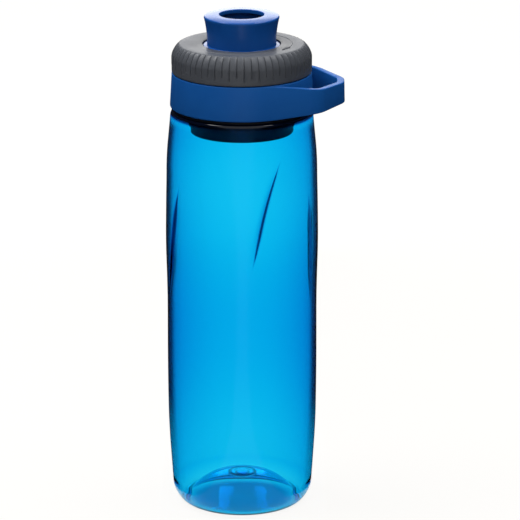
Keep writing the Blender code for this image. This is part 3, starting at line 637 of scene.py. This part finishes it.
def strapPath():
    # the loop's outer face at the band's mid height, from the near side round the tip to the far side
    radius = bandRadius((band["top"] + band["foot"]) / 2) - band["sunk"]
    grow = band["strap"] / 2
    bend = Vector(band["bend"])
    bend += bend.normalized() * grow
    leaving = math.atan2(bend.y, bend.x) + math.acos(radius / bend.length)
    leadSteps = band["leadSteps"]
    arc = [math.radians(band["lead"]) * (1 - i / leadSteps) + leaving for i in range(leadSteps)]
    lead = [polar(radius, angle) for angle in arc]
    start = polar(radius, leaving)
    straight = [start.lerp(bend, (i + 1) / band["straightSteps"]) for i in range(band["straightRows"])]
    half = roundedPath([start, bend, (band["strapOuter"], band["tipY"]), (band["strapOuter"], 0)],
                       [band["bendRound"] + grow, band["tipRound"] + grow], band["roundSteps"])
    straight = [p for p in straight if p.x < half[1].x - band["straightGap"]]
    half = lead + half[:1] + straight + half[1:]
    mirrored = [Vector((p.x, -p.y)) for p in half[:-1]]
    return mirrored + list(reversed(half)), start.x


def strapCorners(path, i, startX):
    # corners of the strap's section at one point of its path
    point = path[i]
    along = (path[min(i + 1, len(path) - 1)] - path[max(i - 1, 0)]).normalized()
    inward = Vector((-along.y, along.x))
    if inward.dot(point - Vector((band["loopMiddle"], 0))) > 0:
        inward = -inward
    share = smooth(point.x, startX, band["strapOuter"])
    high = band["top"] - band["inset"] - band["topDrop"] * share
    low = band["foot"] + band["inset"] + band["footRise"] * share
    gone = smooth(point.x, *[startX + reach for reach in band["thicken"]])
    thick = band["thin"] + (band["strap"] - band["thin"]) * gone + band["tipSwell"] * share ** 2
    middle = (band["top"] + band["foot"]) / 2
    corners = []
    for z, depth in ((high, 0), (low, 0), (low, thick), (high, thick)):
        lean = (bandRadius(z) - bandRadius(middle)) * (1 - band["leanLost"] * gone)
        spot = point + inward * (depth - lean)
        corners.append((spot.x, spot.y, z))
    return corners


def addStrap(bm):
    path, startX = strapPath()
    sections = [strapCorners(path, i, startX) for i in range(len(path))]
    face = bm.faces.new([bm.verts.new(c) for c in sections[0]])
    for corners in sections[1:]:
        face = bmesh.ops.extrude_discrete_faces(bm, faces=[face])["faces"][0]
        for vert, corner in zip(face.verts, corners):
            vert.co = corner
    bm.faces.new([bm.verts.new(c) for c in sections[0]])
    bmesh.ops.remove_doubles(bm, verts=bm.verts, dist=weld)

    # what hangs together with the tip is the strap, and its long edges are rounded
    strapVerts = set()
    reach = [min(bm.verts, key=lambda v: (v.co.xy - path[len(path) // 2]).length)]
    while reach:
        vert = reach.pop()
        if vert not in strapVerts:
            strapVerts.add(vert)
            reach += [e.other_vert(vert) for e in vert.link_edges]
    bmesh.ops.recalc_face_normals(bm, faces=[f for f in bm.faces if f.verts[0] in strapVerts])
    folds = [e for e in bm.edges if e.verts[0] in strapVerts and e.is_manifold
             and e.calc_face_angle() > math.radians(band["strapFold"])]
    bmesh.ops.bevel(bm, geom=folds, offset=band["strapEdge"], offset_type="OFFSET",
                    segments=band["strapEdgeSteps"], profile=0.5, affect="EDGES", material=-1)


def makeBand():
    lip, bore = band["lip"], band["bore"]
    lipFoot, lipEdge = band["top"] - band["lipThick"], band["lipEdge"]
    outline = [
        (lip, band["top"], lipEdge), (band["topRadius"], band["top"], band["topEdge"]),
        (band["footRadius"], band["foot"], band["edge"]), (bore, band["foot"], band["boreEdge"]),
        (bore, lipFoot), (lip, lipFoot, lipEdge),
    ]
    bm = spun(outline, band["steps"])
    addStrap(bm)
    piece("loopBand", bm, bandBlue, "lid", "lid_blue", "loop_band")


makeBand()


# Twist collar with long and short grooves by turns round its grip

collar = {
    "bore": 19.6, "top": 240.2, "foot": 226.2, "radius": 35.1, "edge": 0.4, "topRows": (24, 28),
    "shoulderWidth": 4.5, "shoulderHeight": 6.4, "shoulderPower": 1.52, "shoulderSteps": 18,
    "bead": 32.2, "beadTop": 228.3, "beadSlope": 0.45, "inside": 33.1, "insideEdge": 0.8,
    "plateFoot": 238.6, "plateInset": 0.4, "plateEdge": 0.5, "sleeve": 22.9, "sleeveFoot": 226.6,
    "fineFoot": 1.4, "fineStep": 0.22, "fineRows": 18, "coarseRows": 4,  # fine at the ends of the grooves
    "grooves": 60, "grooveWidth": 0.62, "grooveDepth": 0.30, "grooveStart": (0.1, 1.1),
    "longEnd": 2.2, "shortEnd": 3.8, "endRound": 0.55,
    "grooveRim": 0.09, "rimFrom": 0.85, "endRim": (0.1, 0.45),
    # across one groove, in half widths
    "columns": [-3.0, -1.6, -0.9, -0.62, -0.36, -0.12, 0.12, 0.36, 0.62, 0.9, 1.6],
    "leastOutward": -0.1, "leastUpward": -0.3,  # which way a grooved face looks
    "phase": 2.3,  # degrees, so that a long groove lies a little left of the middle of the photograph
}


def collarShoulder():
    width, height = collar["shoulderWidth"], collar["shoulderHeight"]
    centre = (collar["radius"] - width, collar["top"] - height)
    return roundArc(centre, (width, height), 90, 0, collar["shoulderSteps"], collar["shoulderPower"])


def grooveDepth(groove, across, away, height):
    # with a fine rim along its sides and round its end
    end = collar["foot"] + (collar["shortEnd"] if groove % 2 else collar["longEnd"])
    depth = collar["grooveDepth"] * (1 - across * across)
    if abs(across) > collar["rimFrom"]:
        depth = -collar["grooveRim"]
    start = [collar["radius"] - collar["shoulderWidth"] + reach for reach in collar["grooveStart"]]
    depth *= smooth(height, end, end + collar["endRound"]) * smooth(away, *start)
    return depth - collar["grooveRim"] * (1 - smooth(abs(height - end), *collar["endRim"]))


def makeCollar():
    top, foot, radius, edge = collar["top"], collar["foot"], collar["radius"], collar["edge"]
    bore, bead, inside = collar["bore"], collar["bead"], collar["inside"]
    sleeve, sleeveFoot, plateFoot = collar["sleeve"], collar["sleeveFoot"], collar["plateFoot"]
    shoulderFoot = top - collar["shoulderHeight"]
    shoulderStart = radius - collar["shoulderWidth"]
    fine = [foot + collar["fineFoot"] + collar["fineStep"] * i for i in range(collar["fineRows"])]
    coarseRows = collar["coarseRows"]
    coarse = [fine[-1] + (shoulderFoot - fine[-1]) * i / coarseRows for i in range(1, coarseRows)]
    outline = [
        (bore, top, edge), *[(r, top) for r in collar["topRows"]], *collarShoulder(),
        *[(radius, z) for z in reversed(fine + coarse)], (radius, foot, edge), (bead, foot, edge),
        (bead, collar["beadTop"] - collar["beadSlope"]), (inside, collar["beadTop"]),
        (inside, shoulderFoot, collar["insideEdge"]),
        (shoulderStart - collar["plateInset"], plateFoot, collar["insideEdge"]),
        (sleeve, plateFoot, collar["plateEdge"]), (sleeve, sleeveFoot, edge), (bore, sleeveFoot, edge),
    ]
    count = len(collar["columns"])
    columns = collar["grooves"] * count
    bm = spun(outline, columns)
    bm.normal_update()
    # painted shade in the grooves
    paintedShade = bm.verts.layers.float.new("grooveShade")
    spacing = 360 / collar["grooves"]
    halfWidth = math.degrees(collar["grooveWidth"] / 2 / radius)
    for vert in bm.verts:
        groove, k = divmod(columnOf(vert, columns), count)
        across = collar["columns"][k]
        angle = math.radians(groove * spacing + across * halfWidth - 90 + collar["phase"])
        away, height = vert.co.xy.length, vert.co.z
        outward, upward = vert.co.xy.dot(vert.normal.xy) / away, vert.normal.z
        looksOut = outward > collar["leastOutward"] and upward > collar["leastUpward"]
        depth = 0
        if looksOut and away > shoulderStart - slack and abs(across) < 1:
            depth = grooveDepth(groove, across, away, height)
        # painted shade, darkest where a groove is deepest
        vert[paintedShade] = max(depth / collar["grooveDepth"], 0) ** 2
        vert.co = (*polar(away - outward * depth, angle), height - upward * depth)
    bmesh.ops.recalc_face_normals(bm, faces=bm.faces)
    piece("twistCollar", bm, collarGrey, "collar", "collar_grey", "twist_collar")


makeCollar()


# Twist mark on top of the collar: a thin raised line with a head

twistMark = {
    "radius": 25.2, "lines": [(45, -23), (-52, -128)], "steps": 40,
    "width": 0.8, "rise": 0.24, "sunk": 0.1, "ridgeRound": 0.12,
    "headStart": -23, "headEnd": -37, "headWidth": 1.9, "headInset": 0.2, "headDish": 0.09,
}


def makeTwistMark():
    half, top = twistMark["width"] / 2, collar["top"]
    foot, crest = top - twistMark["sunk"], top + twistMark["rise"]
    radius = twistMark["radius"]
    ridge = [(radius - half, foot), (radius + half, foot), (radius + half, top),
             (radius, crest, twistMark["ridgeRound"]), (radius - half, top)]
    bm = bmesh.new()
    for start, end in twistMark["lines"]:
        line = wire(ridge, roundSteps=2)
        turned = Matrix.Rotation(math.radians(start), 3, "Z")
        bmesh.ops.rotate(line, verts=line.verts, cent=(0, 0, 0), matrix=turned)
        bmesh.ops.spin(line, geom=line.verts[:] + line.edges[:], cent=(0, 0, 0), axis=(0, 0, 1),
                       angle=math.radians(end - start), steps=twistMark["steps"], use_merge=False)
        bmesh.ops.holes_fill(line, edges=[e for e in line.edges if e.is_boundary], sides=0)
        held = bpy.data.meshes.new("twistLine")
        line.to_mesh(held)
        line.free()
        bm.from_mesh(held)
        bpy.data.meshes.remove(held)

    # the head is a low wedge, a little dished
    headStart, headEnd, halfHead = twistMark["headStart"], twistMark["headEnd"], twistMark["headWidth"] / 2
    spots = [polar(radius - halfHead, math.radians(headStart)), polar(radius, math.radians(headEnd)),
             polar(radius + halfHead, math.radians(headStart))]
    head = bm.faces.new([bm.verts.new((*spot, foot)) for spot in spots])
    raised = bmesh.ops.extrude_face_region(bm, geom=[head])["geom"]
    bmesh.ops.translate(bm, vec=(0, 0, crest - foot), verts=vertsIn(raised))
    crown = [g for g in raised if isinstance(g, bmesh.types.BMFace)]
    bmesh.ops.inset_region(bm, faces=crown, thickness=twistMark["headInset"], depth=0.0)
    dished = list({v for f in crown for v in f.verts})
    bmesh.ops.translate(bm, vec=(0, 0, -twistMark["headDish"]), verts=dished)
    bmesh.ops.recalc_face_normals(bm, faces=bm.faces)
    piece("twistMark", bm, collarGrey, "collar", "collar_grey", sharp=50)


makeTwistMark()


# Drinking spout with its flange and the piston below

spout = {
    "top": 255, "lipRadius": 18.9, "footRadius": 17.3, "collarTop": 240.4, "flareRows": 14,
    "hole": 11.2, "holeEdge": 0.45, "holeFootEdge": 0.4,
    "lip": 2.2, "edge": 0.8, "lipFall": 0.65, "lipSteps": 6, "bore": 15.1, "boreRound": 0.8,
    "flange": 19.2, "flangeTop": 239.6, "flangeFoot": 234.8, "flangeEdge": 0.3,
    "piston": 23.9, "pistonTop": 222.0, "pistonFoot": 206.8, "pistonEdges": (0.4, 0.8, 0.7),
    "pistonBore": 20.5, "pistonBoreTop": 219.5, "pistonBoreEdge": 0.5,
    "sealLevel": 214.7, "sealGroove": 21.9, "sealHalf": 1.2, "sealEdge": 0.2, "steps": 160,
}


def makeSpout():
    top, foot, lip, edge = spout["top"], spout["footRadius"], spout["lipRadius"], spout["edge"]
    flareTop, flareFoot, flareRows = top - edge - spout["lipFall"], spout["collarTop"], spout["flareRows"]
    flare = []
    for i in range(1, flareRows + 1):
        share = i / flareRows
        flare.append((foot + (lip - foot) * (1 - share) ** 2, flareTop + (flareFoot - flareTop) * share))
    hole, bore, lipFoot = spout["hole"], spout["bore"], top - spout["lip"]
    flange, flangeEdge = spout["flange"], spout["flangeEdge"]
    flangeTop, flangeFoot = spout["flangeTop"], spout["flangeFoot"]
    piston, pistonTop, pistonFoot = spout["piston"], spout["pistonTop"], spout["pistonFoot"]
    neckEdge, topEdge, footEdge = spout["pistonEdges"]
    pistonBore, boreEdge, boreRound = spout["pistonBore"], spout["pistonBoreEdge"], spout["boreRound"]
    groove, sealEdge = spout["sealGroove"], spout["sealEdge"]
    sealTop, sealFoot = spout["sealLevel"] + spout["sealHalf"], spout["sealLevel"] - spout["sealHalf"]
    outline = [
        (hole, top, spout["holeEdge"]),
        *roundArc((lip - edge, flareTop), (edge, edge), 90, 0, spout["lipSteps"]), *flare,
        (foot, flangeTop, flangeEdge), (flange, flangeTop, flangeEdge),
        (flange, flangeFoot, flangeEdge), (foot, flangeFoot, flangeEdge),
        (foot, pistonTop + edge, neckEdge), (piston, pistonTop, topEdge),
        (piston, sealTop, sealEdge), (groove, sealTop), (groove, sealFoot), (piston, sealFoot, sealEdge),
        (piston, pistonFoot, footEdge), (pistonBore, pistonFoot, boreEdge),
        (pistonBore, spout["pistonBoreTop"], boreEdge), (bore, pistonTop + edge, boreRound),
        (bore, lipFoot, boreRound), (hole, lipFoot, spout["holeFootEdge"]),
    ]
    bm = spun(outline, spout["steps"])
    piece("drinkSpout", bm, spoutBlue, "spout", "spout_blue", "spout")


makeSpout()


# Pieces that keep their solids and take the same finishes
keptFinishes = {
    "rim_gasket": softWhite, "piston_seal": softWhite, "stopper_seal": softWhite, "stopper": coreGrey,
}
for node, finish in keptFinishes.items():
    for holder in frame["nodes"][node].material_slots:
        holder.material = finish
print("inner rings and stopper finished")


# Studio: pale floor, white surround, dark cards at the sides, two long soft lamps overhead, a low one behind

studio = {
    "floorSize": 8.0, "floorDrop": 0.0003, "floorColour": (0.80, 0.795, 0.78),
    "mattRoughness": 0.9, "mattGloss": 0.1,
    "white": (1.0, 0.992, 0.975), "whiteShare": 0.92,
    # blue shade below the bottle, and the shade close round it
    "underneath": 0.36, "underReach": (0.020, 0.030), "underTint": (0.5, 0.68, 1.0),
    "beside": 0.12, "besideReach": (0.036, 0.085),
    "fill": (0.3, 1.5), "fillSpread": (-0.7, 0.8), "fillFrom": (-0.50, -0.82, 0.28),
    "lampAim": 0.16,  # height that the lamps look at
}
lamps = {
    "softLeft": {"place": (-0.54, 0.12, 1.25), "size": (0.95, 0.38), "power": 13.0},
    "softRight": {"place": (0.57, 0.12, 1.25), "size": (0.95, 0.34), "power": 8.8},
    "softBack": {"place": (-0.05, 1.35, 0.46), "size": (0.6, 0.34), "power": 1.3},
}
cards = {
    "foot": 0.043, "lean": 0.13, "length": (-0.55, 0.45), "top": 0.42,
    "colour": (0.012, 0.012, 0.013), "nearColour": (0.80, 0.795, 0.78), "fade": (-0.5, -0.1),
}
view = {
    "x": 0.0027, "distance": 1.632, "height": 0.614, "aim": 0.1272,
    "lens": 231.7, "sensor": 36, "clip": (0.05, 50),
}


def mattFinish(name):
    made, nodes, links, shader = newFinish(name)
    shader.inputs["Roughness"].default_value = studio["mattRoughness"]
    shader.inputs["Specular IOR Level"].default_value = studio["mattGloss"]
    return made, nodes, links, shader


def stageObject(name, bm, finish):
    mesh = bpy.data.meshes.new(name)
    bm.to_mesh(mesh)
    bm.free()
    mesh.materials.append(finish)
    made = bpy.data.objects.new(name, mesh)
    scene.collection.objects.link(made)
    return made


def mathOf(nodes, links, operation, first, second):
    node = nodes.new("ShaderNodeMath")
    node.operation = operation
    links.new(first, node.inputs[0])
    links.new(second, node.inputs[1])
    return node.outputs[0]


def surroundRays(nodes, links):
    # 1 for the rays that see the white surround
    paths = nodes.new("ShaderNodeLightPath").outputs
    seen = mathOf(nodes, links, "MAXIMUM", paths["Is Camera Ray"], paths["Is Glossy Ray"])
    return mathOf(nodes, links, "MAXIMUM", seen, paths["Is Transmission Ray"])


def mixShaders(nodes, links, factor, first, second, output):
    mix = nodes.new("ShaderNodeMixShader")
    for socket, value in zip(mix.inputs, (factor, first, second)):
        links.new(value, socket)
    links.new(mix.outputs["Shader"], nodes[output].inputs["Surface"])


def floorFinish():
    made, nodes, links, shader = mattFinish("floorPale")
    shader.inputs["Base Color"].default_value = (*studio["floorColour"], 1)
    coords = nodes.new("ShaderNodeTexCoord")
    apart = nodes.new("ShaderNodeVectorMath")
    apart.operation = "DISTANCE"
    apart.inputs[1].default_value = bottleAxis
    links.new(coords.outputs["Object"], apart.inputs[0])
    away = apart.outputs["Value"]
    paths = nodes.new("ShaderNodeLightPath").outputs
    through, white = paths["Is Transmission Ray"], studio["whiteShare"]

    # white to the camera, in gloss and through the clear wall, where it keeps the shade close to the bottle
    glow = nodes.new("ShaderNodeEmission")
    below = ranged(nodes, links, away, *studio["underReach"], 1, 0)
    tinted = mathOf(nodes, links, "MULTIPLY", through, below)
    links.new(mixColours(nodes, links, tinted, studio["white"], studio["underTint"]), glow.inputs["Color"])
    beside = ranged(nodes, links, away, *studio["besideReach"], studio["beside"], white)
    under = ranged(nodes, links, away, *studio["underReach"], studio["underneath"], white)
    shade = mixValues(nodes, links, through, beside, under)
    share = mixValues(nodes, links, paths["Is Camera Ray"], shade, white)
    part = mathOf(nodes, links, "MULTIPLY", surroundRays(nodes, links), share)
    mixShaders(nodes, links, part, shader.outputs["BSDF"], glow.outputs["Emission"], "Material Output")
    return made


def makeFloor():
    bm = bmesh.new()
    bmesh.ops.create_grid(bm, x_segments=1, y_segments=1, size=studio["floorSize"] / 2)
    bmesh.ops.translate(bm, vec=(0, 0, -studio["floorDrop"]), verts=bm.verts)
    stageObject("studioFloor", bm, floorFinish())


def makeWorld():
    world = bpy.data.worlds.new("studioWorld")
    scene.world = world
    world.use_nodes = True
    nodes, links = world.node_tree.nodes, world.node_tree.links
    plain = nodes["Background"]
    plain.inputs["Color"].default_value = (1, 1, 1, 1)
    white = nodes.new("ShaderNodeBackground")
    white.inputs["Color"].default_value = (*studio["white"], 1)
    # soft fill, more of it from the front left
    coords = nodes.new("ShaderNodeTexCoord")
    facing = nodes.new("ShaderNodeVectorMath")
    facing.operation = "DOT_PRODUCT"
    facing.inputs[1].default_value = studio["fillFrom"]
    links.new(coords.outputs["Generated"], facing.inputs[0])
    fill = ranged(nodes, links, facing.outputs["Value"], *studio["fillSpread"], *studio["fill"])
    links.new(fill, plain.inputs["Strength"])
    mixShaders(nodes, links, surroundRays(nodes, links), plain.outputs["Background"],
               white.outputs["Background"], "World Output")


def makeCards():
    # dark where the clear wall's edges mirror them and pale towards the front
    made, nodes, links, shader = mattFinish("cardDark")
    coords = nodes.new("ShaderNodeTexCoord")
    place = nodes.new("ShaderNodeSeparateXYZ")
    links.new(coords.outputs["Object"], place.inputs["Vector"])
    dark = ranged(nodes, links, place.outputs["Y"], *cards["fade"], 0, 1)
    colour = mixColours(nodes, links, dark, cards["nearColour"], cards["colour"])
    links.new(colour, shader.inputs["Base Color"])
    near, far = cards["length"]
    for name, aside in (("cardLeft", -1), ("cardRight", 1)):
        bm = bmesh.new()
        start = bottleAxis.x + aside * cards["foot"]
        foot = [bm.verts.new((start, near, 0)), bm.verts.new((start, far, 0))]
        raised = bmesh.ops.extrude_edge_only(bm, edges=[bm.edges.new(foot)])["geom"]
        bmesh.ops.translate(bm, vec=(aside * cards["lean"], 0, cards["top"]), verts=vertsIn(raised))
        card = stageObject(name, bm, made)
        card.visible_camera = card.visible_transmission = card.visible_shadow = False


def aimAt(made, target):
    made.rotation_euler = (target - made.location).to_track_quat("-Z", "Y").to_euler()


def makeLamps():
    for name, lamp in lamps.items():
        data = bpy.data.lights.new(name, "AREA")
        data.shape = "RECTANGLE"
        data.size, data.size_y = lamp["size"]
        data.energy = lamp["power"]
        made = bpy.data.objects.new(name, data)
        scene.collection.objects.link(made)
        made.location = lamp["place"]
        aimAt(made, Vector((bottleAxis.x, 0, studio["lampAim"])))


def makeCamera():
    data = bpy.data.cameras.new("photoCamera")
    data.lens = view["lens"]
    data.sensor_width = view["sensor"]
    data.clip_start, data.clip_end = view["clip"]
    made = bpy.data.objects.new("photoCamera", data)
    scene.collection.objects.link(made)
    made.location = (view["x"], -view["distance"], view["height"])
    aimAt(made, Vector((view["x"], 0, view["aim"])))
    scene.camera = made


makeFloor()
makeWorld()
makeCards()
makeLamps()
makeCamera()
scene.view_settings.view_transform = "Standard"
print("studio and camera set")
